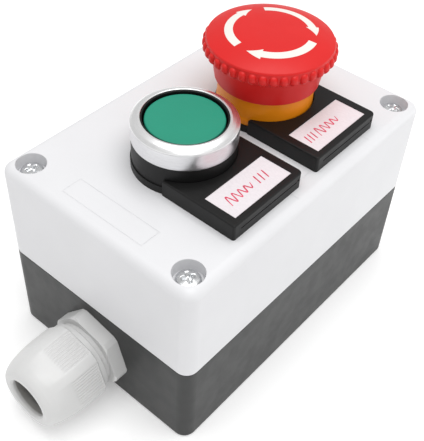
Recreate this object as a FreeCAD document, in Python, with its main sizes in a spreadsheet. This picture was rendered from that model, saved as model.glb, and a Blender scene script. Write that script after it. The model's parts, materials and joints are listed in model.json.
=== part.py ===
"""Two-button control station: a box with a momentary start button, a twist-release stop and a cable gland.

Frame: millimetres, +Z up out of the cover, origin at the centre of the base's back face, +X along the box
away from the cable gland. Operator parts are drawn with z = 0 on the cover's top face, and gland parts with
z = 0 on the wall that the gland goes through.
"""
import FreeCAD, Part
import math
import os

import Sketcher

doc = FreeCAD.newDocument("control_station")
sheet = doc.addObject("Spreadsheet::Sheet", "Sizes")


class Size:
    """A length that holds its present value and its formula in the sheet."""

    def __init__(self, value, formula):
        self.value = value
        self.formula = formula

    def __add__(self, other):
        other = size(other)
        return Size(self.value + other.value, f"({self.formula} + {other.formula})")

    def __sub__(self, other):
        other = size(other)
        return Size(self.value - other.value, f"({self.formula} - {other.formula})")

    def __mul__(self, factor):
        return Size(self.value * factor, f"({self.formula} * {factor:.9f})")

    def __neg__(self):
        return self * -1.0

    __rmul__ = __mul__

    def __radd__(self, other):
        return size(other) + self

    def __rsub__(self, other):
        return size(other) - self


def size(number):
    return number if isinstance(number, Size) else Size(float(number), f"({float(number):.6f})")


DRIVING = {
    # enclosure
    "box_long": 112.0, "box_wide": 74.0, "box_high": 66.4, "corner_round": 4.0, "base_high": 32.0,
    "base_wall": 3.0, "base_floor": 2.5, "base_edge": 0.6, "cover_wall": 2.8, "cover_top": 3.0,
    "cover_round": 3.0, "seam_edge": 0.35, "screw_x": 49.25, "screw_y": 30.25, "boss_radius": 5.0,
    "column_radius": 5.6, "boss_gap": 0.4, "recess_radius": 4.5, "recess_deep": 4.0, "screw_clear": 2.0,
    "pilot_radius": 1.75, "pilot_deep": 16.0, "groove_out": 0.9, "groove_in": 2.3, "groove_deep": 1.6,
    "tongue_deep": 0.5, "groove_play": 0.05, "wall_hole_x": 40.0, "wall_hole_y": 25.0,
    "wall_hole_radius": 2.2, "wall_pad_radius": 4.6, "wall_pad_high": 1.0, "scribe_wide": 0.22,
    "scribe_deep": 0.05,
    # cover screws
    "head_radius": 3.5, "head_high": 2.4, "head_dome": 5.0, "shank_radius": 1.7, "shank_long": 44.0,
    "cross_wide": 0.9, "cross_long": 3.8, "cross_deep": 1.5,
    # cable gland
    "gland_y": 0.35, "gland_z": 15.5, "gland_hole": 10.15, "gland_thread": 9.9, "gland_flat": 11.9,
    "flange_thick": 4.7, "gland_bore": 6.6, "spigot_radius": 10.4, "spigot_end": 16.0, "claw_end": 20.0,
    "seal_pocket": 8.3, "seal_step": 8.5, "nut_start": 6.4, "nut_collar": 1.9, "nut_end": 27.9,
    "nut_corner": 13.2, "nut_flat": 12.0, "nut_mouth": 6.6, "nut_thread": 10.8, "seal_radius": 8.0,
    "seal_bore": 5.0, "seal_start": 11.0, "seal_end": 23.2, "seal_edge": 0.6, "thread_inside": 9.0,
    "washer_radius": 11.6, "washer_thick": 1.2, "locknut_thick": 5.0, "claw_slot": 1.2,
    # operators, shared
    "button_x": 18.7, "button_mid": 0.5, "button_y": -0.5, "panel_hole": 11.15, "barrel_radius": 11.0,
    "barrel_end": 16.4, "bore_radius": 7.6, "key_wide": 3.0, "key_reach": 12.6, "guide_radius": 7.55,
    "stem_radius": 3.2, "stem_end": 17.45, "seat_top": 14.2, "seat_thick": 1.4, "seat_bore": 3.26,
    "spring_in": 3.9, "spring_out": 6.9, "ring_nut_radius": 14.0, "ring_nut_thick": 4.4,
    "carrier_half": 14.5, "carrier_top": 9.0, "gasket_in": 11.9, "gasket_out": 14.6,
    "gasket_thick": 1.0,
    # legend holders
    "holder_ring": 15.55, "holder_base": 2.44, "holder_half": 15.1, "holder_front": 31.2,
    "holder_rear": 5.5, "holder_high": 5.26, "window_half": 12.3, "window_front": 29.1,
    "window_rear": 18.3, "window_deep": 0.65, "card_thick": 0.4, "card_play": 0.05,
    "collar_clear": 15.4, "pry_radius": 0.4, "pry_deep": 0.8,
    # start button
    "collar_radius": 15.25, "collar_top": 9.35, "guard_in": 12.05, "guard_out": 14.1, "guard_top": 14.7,
    "guard_lip": 15.95, "bezel_in": 12.5, "bezel_out": 15.45, "bezel_top": 16.35, "cap_radius": 11.45,
    "cap_top": 15.5, "cap_edge": 0.6, "cap_bottom": 10.5, "well_floor": 5.0, "start_lip": 5.08,
    # stop button
    "yellow_radius": 15.2, "yellow_upper": 15.0, "yellow_top": 12.6, "tube_out": 13.2, "tube_in": 10.4,
    "tube_top": 14.0, "stop_lip": 6.0, "lip_floor": 8.0, "lip_top": 10.0, "hub_radius": 6.5,
    "hub_bottom": 16.1, "cap_rim": 20.3, "cap_under": 20.3, "cap_crown": 27.2, "skirt_bottom": 11.8,
    "skirt_edge": 16.2, "skirt_in": 15.35, "cam_radius": 10.0,
    # contact blocks
    "block_top": 17.0, "block_high": 31.4, "block_half": 15.5, "block_back": 6.5, "block_split": 4.6,
    "cavity_half": 8.6, "cavity_back": 4.2, "cavity_floor": 1.5, "cavity_roof": 2.9, "head_half": 3.5,
    "foot_half": 4.0, "terminal_y": 11.9, "terminal_shaft": 3.1, "strip_thick": 0.8, "strip_half": 3.0,
    "strip_inner": 4.8, "strip_outer": 14.4, "rivet_y": 6.6, "rivet_radius": 1.5, "rivet_high": 0.6,
    "bridge_half": 8.2, "bridge_wide": 2.5,
}


def fill_sheet():
    """Write each driving size in a cell of its own and give the cell its alias."""
    sizes = {}
    for row, (alias, value) in enumerate(DRIVING.items(), start=1):
        sheet.set(f"A{row}", alias)
        sheet.set(f"B{row}", str(value))
        sheet.setAlias(f"B{row}", alias)
        sizes[alias] = Size(value, f"Sizes.{alias}")
    doc.recompute()
    return sizes


S = fill_sheet()
PARTS = []


# ---------------------------------------------------------------- binding and primitives

def bind(thing, **properties):
    """Set each property now and bind it to its formula in the sheet."""
    for name, value in properties.items():
        value = size(value)
        setattr(thing, name, value.value)
        thing.setExpression(name, value.formula)


def place(thing, x=0, y=0, z=0, rotation=None):
    if rotation is not None:
        thing.Placement = FreeCAD.Placement(FreeCAD.Vector(), rotation)
    for axis, value in zip("xyz", (x, y, z)):
        thing.setExpression(f"Placement.Base.{axis}", size(value).formula)
    return thing


def keep(thing, label):
    """Name a finished sub-part after its node."""
    thing.Label = label
    PARTS.append(thing)
    return thing


def box(x, y, z):
    """A box between two limits along each axis."""
    block = doc.addObject("Part::Box", "Block")
    bind(block, Length=x[1] - x[0], Width=y[1] - y[0], Height=z[1] - z[0])
    return place(block, x[0], y[0], z[0])


def limits(low, high):
    return size(low), size(high)


def both_ways(half):
    return -size(half), size(half)


def rod(radius, low, high, x=0, y=0):
    """A cylinder along Z."""
    cylinder = doc.addObject("Part::Cylinder", "Rod")
    bind(cylinder, Radius=radius, Height=size(high) - low)
    return place(cylinder, x, y, low)


def hexagon(flat, low, high, turn):
    """A hexagonal bar along Z, given by half its width across flats and its first corner's angle."""
    bar = doc.addObject("Part::Prism", "Hexagon")
    bar.Polygon = 6
    bind(bar, Circumradius=flat * (2 / math.sqrt(3)), Height=size(high) - low)
    return place(bar, 0, 0, low, FreeCAD.Rotation(FreeCAD.Vector(0, 0, 1), turn))


def cut(base, *tools):
    result = doc.addObject("Part::Cut", "Cut")
    result.Base = base
    result.Tool = tools[0] if len(tools) == 1 else group(*tools)
    return result


def fuse(*shapes):
    result = doc.addObject("Part::MultiFuse", "Fuse")
    result.Shapes = list(shapes)
    result.Refine = True
    return result


def group(*shapes):
    result = doc.addObject("Part::Compound", "Group")
    result.Links = list(shapes)
    return result


def common(first, second):
    result = doc.addObject("Part::Common", "Common")
    result.Base = first
    result.Tool = second
    return result


# ---------------------------------------------------------------- sketches and bodies

def new_body(name):
    return doc.addObject("PartDesign::Body", name)


def new_sketch(body, plane, level=0):
    """A sketch on one of the body's own planes, raised by level along the plane's normal."""
    sketch = body.newObject("Sketcher::SketchObject", "Outline")
    origin = [f for f in body.Origin.OriginFeatures if f.Role == plane][0]
    sketch.AttachmentSupport = [(origin, "")]
    sketch.MapMode = "FlatFace"
    sketch.AttachmentOffset = FreeCAD.Placement(FreeCAD.Vector(0, 0, size(level).value), FreeCAD.Rotation())
    sketch.setExpression("AttachmentOffset.Base.z", size(level).formula)
    return sketch


def pin_point(sketch, edge, end, x, y):
    """Hold one point of an edge at formulas for its two coordinates."""
    for kind, axis, value in (("DistanceX", -2, size(x)), ("DistanceY", -1, size(y))):
        if abs(value.value) < 1e-9:
            sketch.addConstraint(Sketcher.Constraint("PointOnObject", edge, end, axis))
        else:
            held = sketch.addConstraint(Sketcher.Constraint(kind, -1, 1, edge, end, value.value))
            sketch.setExpression(f"Constraints[{held}]", value.formula)


def vector(point):
    return FreeCAD.Vector(size(point[0]).value, size(point[1]).value, 0)


def polygon(sketch, points):
    """A closed outline of straight lines."""
    first = sketch.GeometryCount
    count = len(points)
    for here, there in zip(points, points[1:] + points[:1]):
        sketch.addGeometry(Part.LineSegment(vector(here), vector(there)), False)
    for k in range(count):
        sketch.addConstraint(Sketcher.Constraint("Coincident", first + k, 2, first + (k + 1) % count, 1))
    for k, (x, y) in enumerate(points):
        pin_point(sketch, first + k, 1, x, y)


def circle(sketch, radius, x=0, y=0):
    radius = size(radius)
    ring = Part.Circle(vector((x, y)), FreeCAD.Vector(0, 0, 1), radius.value)
    edge = sketch.addGeometry(ring, False)
    held = sketch.addConstraint(Sketcher.Constraint("Radius", edge, radius.value))
    sketch.setExpression(f"Constraints[{held}]", radius.formula)
    pin_point(sketch, edge, 3, x, y)


def rectangle(sketch, x, y):
    polygon(sketch, [(x[0], y[0]), (x[1], y[0]), (x[1], y[1]), (x[0], y[1])])


def rounded(sketch, half_x, half_y, radius):
    """A centred rectangle with round corners: its sides and corners in turn, counterclockwise."""
    radius = size(radius)
    in_x, in_y = half_x - radius, half_y - radius
    ends = [(in_x, -half_y), (half_x, -in_y), (half_x, in_y), (in_x, half_y),
            (-in_x, half_y), (-half_x, in_y), (-half_x, -in_y), (-in_x, -half_y)]
    centres = [(in_x, -in_y), (in_x, in_y), (-in_x, in_y), (-in_x, -in_y)]
    first = sketch.GeometryCount
    for k in range(8):
        start, finish = vector(ends[k]), vector(ends[(k + 1) % 8])
        if k % 2:
            sketch.addGeometry(Part.LineSegment(start, finish), False)
        else:
            angle = math.radians(-90 + 45 * k)
            ring = Part.Circle(vector(centres[k // 2]), FreeCAD.Vector(0, 0, 1), radius.value)
            sketch.addGeometry(Part.ArcOfCircle(ring, angle, angle + math.pi / 2), False)
    for k in range(8):
        sketch.addConstraint(Sketcher.Constraint("Coincident", first + k, 2, first + (k + 1) % 8, 1))
        pin_point(sketch, first + k, 1, *ends[k])
    for k in range(0, 8, 2):
        held = sketch.addConstraint(Sketcher.Constraint("Radius", first + k, radius.value))
        sketch.setExpression(f"Constraints[{held}]", radius.formula)


def solid_volume(body):
    doc.recompute()
    return body.Shape.Volume if body.Tip else 0.0


def feature(body, kind, sketch, **options):
    """Add a feature made from a sketch, and check that it changed the volume the right way."""
    before = solid_volume(body) if body.Tip else 0.0
    made = body.newObject(f"PartDesign::{kind}", kind)
    made.Profile = sketch
    for name, value in options.items():
        if isinstance(value, Size):
            bind(made, **{name: value})
        else:
            setattr(made, name, value)
    change = solid_volume(body) - before
    adds = kind in ("Pad", "Revolution")
    if (change > 0) != adds or abs(change) < 1e-6:
        raise RuntimeError(f"{body.Name}: {kind} changed the volume by {change}")
    return made


def pad(body, sketch, length):
    return feature(body, "Pad", sketch, Length=size(length))


def pocket(body, sketch, depth, up=False):
    return feature(body, "Pocket", sketch, Length=size(depth), Reversed=up)


def around(body, made, count):
    """Repeat a feature about the body's Z axis."""
    pattern = body.newObject("PartDesign::PolarPattern", "Around")
    pattern.Originals = [made]
    pattern.Axis = (made.Profile[0], ["N_Axis"])
    pattern.Angle = 360
    pattern.Occurrences = count
    body.Tip = pattern
    doc.recompute()


def fillet(body, radius, wanted):
    """Round every edge of the body's tip that the test picks."""
    doc.recompute()
    tip = body.Tip
    names = [f"Edge{k}" for k, edge in enumerate(tip.Shape.Edges, start=1) if wanted(edge)]
    if not names:
        raise RuntimeError(f"{body.Name}: no edge to round")
    made = body.newObject("PartDesign::Fillet", "Fillet")
    made.Base = (tip, names)
    bind(made, Radius=radius)
    doc.recompute()


def at_height(level):
    """Picks the edges that lie wholly at one height."""
    return lambda edge: all(abs(z - level.value) < 1e-4 for z in (edge.BoundBox.ZMin, edge.BoundBox.ZMax))


def ring_edge(radius, level):
    """Picks the round edge of one radius at one height."""
    radius, level = size(radius), size(level)

    def wanted(edge):
        flat = at_height(level)(edge)
        return flat and abs(edge.BoundBox.XLength / 2 - radius.value) < 1e-3
    return wanted


def turned(name, outline):
    """A body turned about Z from its outline of (radius, height) points."""
    body = new_body(name)
    sketch = new_sketch(body, "XZ_Plane")
    polygon(sketch, outline)
    feature(body, "Revolution", sketch, ReferenceAxis=(sketch, ["V_Axis"]), Angle=360)
    return body


def ring(name, inner, outer, low, high):
    return turned(name, [(inner, low), (outer, low), (outer, high), (inner, high)])


# ---------------------------------------------------------------- enclosure

HALF_X, HALF_Y = S["box_long"] * 0.5, S["box_wide"] * 0.5
BUTTONS = {side: (S["button_mid"] + side * S["button_x"], S["button_y"]) for side in (-1, 1)}
CORNERS = [(sx * S["screw_x"], sy * S["screw_y"]) for sx in (-1, 1) for sy in (-1, 1)]


def inset(sketch, distance):
    """The box's outline, moved in by a distance."""
    radius = S["corner_round"] - distance
    rounded(sketch, HALF_X - distance, HALF_Y - distance, radius)


def inset_ring(body, level, outer, inner):
    sketch = new_sketch(body, "XY_Plane", level)
    inset(sketch, outer)
    inset(sketch, inner)
    return sketch


def circles(body, level, radius, centres):
    sketch = new_sketch(body, "XY_Plane", level)
    for x, y in centres:
        circle(sketch, radius, x, y)
    return sketch


def base_shell():
    body = new_body("base_shell")
    outline = new_sketch(body, "XY_Plane")
    inset(outline, size(0))
    pad(body, outline, S["base_high"])
    fillet(body, S["base_edge"], at_height(size(0)))
    cavity = new_sketch(body, "XY_Plane", S["base_high"])
    inset(cavity, S["base_wall"])
    pocket(body, cavity, S["base_high"] - S["base_floor"])
    bosses = circles(body, S["base_floor"], S["boss_radius"], CORNERS)
    pad(body, bosses, S["base_high"] - S["base_floor"] - S["boss_gap"])
    pilots = circles(body, S["base_high"] - S["boss_gap"], S["pilot_radius"], CORNERS)
    pocket(body, pilots, S["pilot_deep"])
    holes = [(sx * S["wall_hole_x"], sy * S["wall_hole_y"]) for sx in (-1, 1) for sy in (-1, 1)]
    pad(body, circles(body, S["base_floor"], S["wall_pad_radius"], holes), S["wall_pad_high"])
    through = S["base_floor"] + S["wall_pad_high"]
    pocket(body, circles(body, through, S["wall_hole_radius"], holes), through)
    groove = inset_ring(body, S["base_high"], S["groove_out"], S["groove_in"])
    pocket(body, groove, S["groove_deep"])
    entry = new_sketch(body, "YZ_Plane", -HALF_X)
    circle(entry, S["gland_hole"], S["gland_y"], S["gland_z"])
    pocket(body, entry, S["base_wall"], up=True)
    keep(body, "base_shell")


def scribed_rectangle(body, x, y):
    """A faint rectangle left in the cover's top face by an insert of its mould."""
    line = S["scribe_wide"]
    sketch = new_sketch(body, "XY_Plane", S["box_high"])
    rectangle(sketch, x, y)
    rectangle(sketch, (x[0] + line, x[1] - line), (y[0] + line, y[1] - line))
    pocket(body, sketch, S["scribe_deep"])


def cover_shell():
    body = new_body("cover_shell")
    outline = new_sketch(body, "XY_Plane", S["base_high"])
    inset(outline, size(0))
    pad(body, outline, S["box_high"] - S["base_high"])
    fillet(body, S["cover_round"], at_height(S["box_high"]))
    fillet(body, S["seam_edge"], at_height(S["base_high"]))
    cavity = new_sketch(body, "XY_Plane", S["base_high"])
    inset(cavity, S["cover_wall"])
    pocket(body, cavity, S["box_high"] - S["base_high"] - S["cover_top"], up=True)
    columns = circles(body, S["base_high"], S["column_radius"], CORNERS)
    pad(body, columns, S["box_high"] - S["base_high"] - S["cover_top"])
    pocket(body, circles(body, S["box_high"], S["recess_radius"], CORNERS), S["recess_deep"])
    pocket(body, circles(body, S["box_high"], S["screw_clear"], CORNERS), S["box_high"] - S["base_high"])
    tongue = inset_ring(body, S["base_high"] - S["tongue_deep"], S["groove_out"] + S["groove_play"],
                        S["groove_in"] - S["groove_play"])
    pad(body, tongue, S["tongue_deep"])
    pocket(body, circles(body, S["box_high"], S["panel_hole"], BUTTONS.values()), S["cover_top"])
    notch_half = S["key_wide"] * 0.5 + 0.1
    for x, y in BUTTONS.values():
        notch = new_sketch(body, "XY_Plane", S["box_high"])
        rectangle(notch, (x - notch_half, x + notch_half), (y - S["key_reach"] - 0.3, y - 9))
        pocket(body, notch, S["cover_top"])
    scribed_rectangle(body, limits(-51, -44), both_ways(15.3))
    scribed_rectangle(body, limits(-8.3, 27.7), limits(-36.5, -30))
    keep(body, "cover_shell")


def cover_gasket():
    body = new_body("cover_gasket")
    floor = S["base_high"] - S["groove_deep"]
    ring_sketch = inset_ring(body, floor, S["groove_out"] + S["groove_play"],
                             S["groove_in"] - S["groove_play"])
    pad(body, ring_sketch, S["groove_deep"] - S["tongue_deep"])
    keep(body, "cover_gasket")


def cross_recess(x, y, top):
    """The two bars of a cross recess, sunk from a head's top."""
    half_long, half_wide = S["cross_long"] * 0.5, S["cross_wide"] * 0.5
    height = limits(top - S["cross_deep"], top + 1)
    along_x = box((x - half_long, x + half_long), (y - half_wide, y + half_wide), height)
    along_y = box((x - half_wide, x + half_wide), (y - half_long, y + half_long), height)
    return along_x, along_y


def cover_screws():
    under = S["box_high"] - S["recess_deep"]
    screws = []
    for x, y in CORNERS:
        disc = rod(S["head_radius"], under, under + S["head_high"], x, y)
        ball = doc.addObject("Part::Sphere", "Ball")
        bind(ball, Radius=S["head_dome"])
        place(ball, x, y, under + S["head_high"] - S["head_dome"])
        head = common(disc, ball)
        shank = rod(S["shank_radius"], under - S["shank_long"], under, x, y)
        screws.append(cut(fuse(head, shank), *cross_recess(x, y, under + S["head_high"])))
    keep(group(*screws), "cover_screws")


# ---------------------------------------------------------------- cable gland

OUTWARD = FreeCAD.Rotation(FreeCAD.Vector(0, 1, 0), -90)
FLANGE_TURN = 17.8
NUT_TURN = 17.0


def on_wall(part, label):
    """Stand a gland part on the wall, its own Z pointing out of the box."""
    place(part, -HALF_X, S["gland_y"], S["gland_z"], OUTWARD)
    keep(part, label)


def gland_body():
    body = turned("gland_body", [
        (S["gland_bore"], -S["thread_inside"]), (S["gland_thread"], -S["thread_inside"]),
        (S["gland_thread"], 0), (S["gland_flat"] - 0.1, 0), (S["gland_flat"] - 0.1, S["flange_thick"]),
        (S["spigot_radius"], S["flange_thick"]), (S["spigot_radius"], S["spigot_end"]),
        (S["spigot_radius"] - 0.8, S["spigot_end"] + 0.4), (S["seal_pocket"] + 0.5, S["claw_end"]),
        (S["seal_pocket"], S["claw_end"]), (S["seal_pocket"], S["seal_step"]),
        (S["gland_bore"], S["seal_step"])])
    hexagonal = new_sketch(body, "XY_Plane")
    corner = S["gland_flat"] * (2 / math.sqrt(3))
    turns = [math.radians(FLANGE_TURN + 60 * k) for k in range(6)]
    polygon(hexagonal, [(corner * math.cos(a), corner * math.sin(a)) for a in turns])
    circle(hexagonal, S["gland_thread"] - 1)
    pad(body, hexagonal, S["flange_thick"])
    front, round_off = S["flange_thick"], corner - 0.5
    trim = new_sketch(body, "XZ_Plane")
    polygon(trim, [(round_off, 0), (corner + 1, 0), (corner + 1, front), (round_off - 0.7, front),
                   (round_off, front - 0.5)])
    feature(body, "Groove", trim, ReferenceAxis=(trim, ["V_Axis"]), Angle=360)
    washer_seat = new_sketch(body, "XY_Plane")
    circle(washer_seat, S["washer_radius"] + 0.05)
    circle(washer_seat, S["gland_thread"])
    pocket(body, washer_seat, S["washer_thick"], up=True)
    slot = new_sketch(body, "XY_Plane", S["claw_end"])
    half = S["claw_slot"] * 0.5
    rectangle(slot, (S["seal_pocket"] - 1, S["spigot_radius"] + 1), (-half, half))
    around(body, pocket(body, slot, S["claw_end"] - S["spigot_end"] - 0.6), 8)
    on_wall(body, "gland_body")


def gland_washer():
    body = ring("gland_washer", S["gland_thread"] + 0.1, S["washer_radius"], 0, S["washer_thick"])
    on_wall(body, "gland_washer")


def gland_locknut():
    low, high = -S["base_wall"] - S["locknut_thick"], -S["base_wall"]
    bar = hexagon(S["gland_flat"], low, high, 30)
    on_wall(cut(bar, rod(S["gland_thread"] + 0.05, low - 1, high + 1)), "gland_locknut")


def gland_seal():
    inner, outer, edge = S["seal_bore"], S["seal_radius"], S["seal_edge"]
    start, finish = S["seal_start"], S["seal_end"]
    body = turned("gland_seal", [
        (inner, start), (outer, start), (outer, finish - edge), (outer - edge, finish),
        (inner + edge, finish), (inner, finish - edge)])
    on_wall(body, "gland_seal")


def gland_nut():
    """A hexagonal cap nut with a round rear collar, whose front closes in to a round mouth."""
    mouth, nose = S["nut_mouth"], S["nut_end"]
    rear, corner = S["nut_start"], S["nut_corner"]
    collar, step = S["nut_flat"] - 0.2, S["nut_start"] + S["nut_collar"]
    blank = turned("nut_blank", [
        (S["nut_thread"], rear), (collar - 0.3, rear), (collar, rear + 0.3), (collar, step),
        (corner - 0.3, step), (corner, step + 0.3), (corner - 0.05, nose - 12), (corner - 0.4, nose - 8),
        (corner - 1, nose - 5.3), (corner - 1.6, nose - 3.3), (corner - 2.4, nose - 1.6),
        (corner - 3.1, nose - 0.5), (corner - 4.1, nose), (mouth + 0.5, nose), (mouth, nose - 0.5),
        (mouth, nose - 1.5), (S["nut_thread"] - 0.6, nose - 6), (S["nut_thread"], nose - 6)])
    on_wall(common(blank, hexagon(S["nut_flat"], rear, nose, NUT_TURN)), "gland_nut")


# ---------------------------------------------------------------- operator parts that both buttons have

def on_panel(part, side, label):
    """Stand an operator part on the cover at its button's place."""
    place(part, *BUTTONS[side], S["box_high"])
    keep(part, label)


def front_corner(way):
    """Picks the legend block's upright front edge on one side."""
    front = S["holder_front"].value

    def wanted(edge):
        bounds = edge.BoundBox
        return bounds.YMax < 0.01 - front and bounds.ZLength > 4 and way * bounds.XMin > 0
    return wanted


def legend_holder(name, side):
    """A ring under the button's head, with a raised block that frames the card."""
    body = new_body(f"{name}_legend_holder")
    disc = new_sketch(body, "XY_Plane")
    circle(disc, S["holder_ring"])
    pad(body, disc, S["holder_base"])
    block = new_sketch(body, "XY_Plane")
    rectangle(block, both_ways(S["holder_half"]), (-S["holder_front"], -S["holder_rear"]))
    pad(body, block, S["holder_high"])
    for radius, way in ((0.8, -1), (1.6, 1)):
        fillet(body, radius, front_corner(way))
    fillet(body, 0.45, at_height(S["holder_high"]))
    clearance = new_sketch(body, "XY_Plane", S["holder_high"])
    circle(clearance, S["collar_clear"])
    pocket(body, clearance, S["holder_high"] - S["holder_base"])
    window = new_sketch(body, "XY_Plane", S["holder_high"])
    rectangle(window, both_ways(S["window_half"]), (-S["window_front"], -S["window_rear"]))
    pocket(body, window, S["window_deep"])
    hole = new_sketch(body, "XY_Plane", S["holder_base"])
    circle(hole, S["panel_hole"])
    pocket(body, hole, S["holder_base"])
    seat = new_sketch(body, "XY_Plane")
    circle(seat, S["gasket_out"] + 0.1)
    pocket(body, seat, S["gasket_thick"], up=True)
    key = new_sketch(body, "XY_Plane", S["holder_base"])
    half = S["key_wide"] * 0.5 + 0.1
    rectangle(key, both_ways(half), (-S["key_reach"] - 0.2, size(-9)))
    pocket(body, key, S["holder_base"])
    groove = new_sketch(body, "XZ_Plane", S["holder_front"])
    rectangle(groove, both_ways(S["holder_half"] - 2.8), limits(2.7, 3.1))
    pocket(body, groove, size(0.3))
    pry_hole = new_sketch(body, "XZ_Plane", S["holder_front"])
    circle(pry_hole, S["pry_radius"], S["holder_half"] - 2.1, 3.2)
    pocket(body, pry_hole, S["pry_deep"])
    on_panel(body, side, f"{name}_legend_holder")


def legend_card(name, side):
    play, low = S["card_play"], S["holder_high"] - S["window_deep"]
    card = box(both_ways(S["window_half"] - play), (play - S["window_front"], -S["window_rear"] - play),
               (low, low + S["card_thick"]))
    on_panel(group(card), side, f"{name}_legend_card")


def panel_gasket(name, side):
    body = ring(f"{name}_panel_gasket", S["gasket_in"] + 0.8, S["gasket_out"], 0, S["gasket_thick"])
    on_panel(body, side, f"{name}_panel_gasket")


def barrel_key(body):
    """The rib that stops a barrel turning in the cover's notch."""
    key = new_sketch(body, "XY_Plane", -S["cover_top"])
    rectangle(key, both_ways(S["key_wide"] * 0.5), (-S["key_reach"], 1 - S["barrel_radius"]))
    pad(body, key, S["cover_top"] + S["holder_base"])


def spring_seat(name, side):
    """The snap ring in the barrel's end that the return spring stands on."""
    body = ring(f"{name}_spring_seat", S["seat_bore"], S["bore_radius"] - 0.02,
                -S["seat_top"] - S["seat_thick"], -S["seat_top"])
    on_panel(body, side, f"{name}_spring_seat")


def return_spring(name, side, shoulder):
    """The spring's outer envelope, between its seat and the moving shoulder."""
    body = ring(f"{name}_return_spring", S["spring_in"], S["spring_out"], -S["seat_top"], shoulder)
    on_panel(body, side, f"{name}_return_spring")


def lock_nut(name, side):
    low = -S["cover_top"] - S["ring_nut_thick"]
    body = ring(f"{name}_lock_nut", S["barrel_radius"] + 0.05, S["ring_nut_radius"], low, -S["cover_top"])
    notch = new_sketch(body, "XY_Plane", -S["cover_top"])
    rectangle(notch, (S["ring_nut_radius"] - 1.1, S["ring_nut_radius"] + 1), limits(-1.5, 1.5))
    around(body, pocket(body, notch, S["ring_nut_thick"]), 8)
    on_panel(body, side, f"{name}_lock_nut")


def hook_limits(play):
    """Where the contact block's two hooks reach up into the carrier."""
    return limits(-2.5 - play, 2.5 + play), limits(12.2 - play, 13.6 + play)


def block_carrier(name, side):
    body = new_body(f"{name}_block_carrier")
    outline = new_sketch(body, "XY_Plane", -S["block_top"])
    rounded(outline, S["carrier_half"], S["carrier_half"], 2.5)
    pad(body, outline, S["block_top"] - S["carrier_top"])
    bore = new_sketch(body, "XY_Plane", -S["carrier_top"])
    circle(bore, S["barrel_radius"] + 0.05)
    pocket(body, bore, S["block_top"] - S["carrier_top"])
    for way in (-1, 1):
        slot = new_sketch(body, "XY_Plane", -S["block_top"])
        wide, reach = hook_limits(0.1)
        rectangle(slot, wide, (way * reach[0], way * reach[1]))
        pocket(body, slot, size(5), up=True)
    on_panel(body, side, f"{name}_block_carrier")


# ---------------------------------------------------------------- contact blocks

STRIP_LOW = {"start": 16.4, "stop": 11.4}


class Levels:
    """Heights inside a contact block; the start block closes downwards, the stop block opens downwards."""

    def __init__(self, name):
        self.top = -S["block_top"]
        self.bottom = self.top - S["block_high"]
        self.floor = self.bottom + S["cavity_floor"]
        self.roof = self.top - S["cavity_roof"]
        self.strip = self.top - STRIP_LOW[name]
        self.head = self.top - 0.55
        self.foot = self.bottom + 7
        self.closes_down = name == "start"
        if self.closes_down:
            self.rivet = self.strip + S["strip_thick"]
            self.bridge = self.rivet + S["rivet_high"] + 2 + S["rivet_high"]
            self.bridge_rivet = self.bridge - S["rivet_high"]
            self.window = (self.bridge, self.bridge + 7)
            self.bridge_spring = (self.bridge + S["strip_thick"], self.window[1])
            self.spring_hole = self.foot + 6
        else:
            self.rivet = self.strip - S["rivet_high"]
            self.bridge_rivet = self.rivet - 0.05 - S["rivet_high"]
            self.bridge = self.bridge_rivet - S["strip_thick"]
            self.window = (self.bridge - 6, self.bridge + S["strip_thick"] + 0.05)
            self.bridge_spring = (self.window[0], self.bridge)
            self.spring_hole = self.foot + 4


def pair(make):
    """The same piece on both ends of a contact block."""
    return [make(way) for way in (-1, 1)]


def span(way, near, far):
    """Limits along Y on one end of a block."""
    return (size(near), size(far)) if way > 0 else (-size(far), -size(near))


def contact_housing(name, side):
    at = Levels(name)
    block = box((-S["block_back"], S["block_split"]), both_ways(S["block_half"]), (at.bottom, at.top))
    wide, reach = hook_limits(0)
    hooks = pair(lambda way: box(wide, span(way, *reach), (at.top - 1, at.top + 4)))
    cavity = box((-S["cavity_back"], S["block_split"] + 1), both_ways(S["cavity_half"]), (at.floor, at.roof))
    mouth_half = S["head_half"] + 0.1
    mouth = box(both_ways(mouth_half), both_ways(mouth_half), (at.roof - 1, at.top + 1))
    shafts = pair(lambda way: rod(S["terminal_shaft"], at.bottom - 1, at.strip + 0.1,
                                  0, way * S["terminal_y"]))
    slots = pair(lambda way: box(both_ways(S["strip_half"] + 0.05), span(way, 8, S["strip_outer"] + 0.1),
                                 (at.strip - 0.05, at.strip + S["strip_thick"] + 0.05)))
    tips = pair(lambda way: rod(1.6, at.strip, at.strip + 6, 0, way * S["terminal_y"]))
    wires = pair(lambda way: box(limits(-2.4, 2.4), span(way, S["terminal_y"], S["block_half"] + 1),
                                 (at.strip - 3.4, at.strip - 0.1)))
    solid = cut(fuse(block, *hooks), cavity, mouth, *shafts, *slots, *tips, *wires)
    on_panel(solid, side, f"{name}_contact_housing")


def contact_lid(name, side):
    at = Levels(name)
    plate = box((S["block_split"], S["block_back"]), both_ways(S["block_half"]), (at.bottom, at.top))
    relief = box((S["block_split"] - 1, S["block_split"] + 0.6), both_ways(S["cavity_half"] - 1),
                 (at.floor + 1, at.roof - 1))
    on_panel(cut(plate, relief), side, f"{name}_contact_lid")


def contact_plunger(name, side):
    at = Levels(name)
    shoulder = at.window[0] - 0.4 if at.closes_down else at.window[0] - 0.8
    upper = box(both_ways(S["head_half"]), both_ways(S["head_half"]), (shoulder, at.head))
    lower = box(both_ways(S["foot_half"]), both_ways(S["foot_half"]), (at.foot, shoulder))
    window = box(both_ways(S["bridge_wide"] + 0.1), both_ways(S["foot_half"] + 1), at.window)
    bore = rod(3, at.foot - 1, at.spring_hole)
    on_panel(cut(fuse(upper, lower), window, bore), side, f"{name}_contact_plunger")


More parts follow.
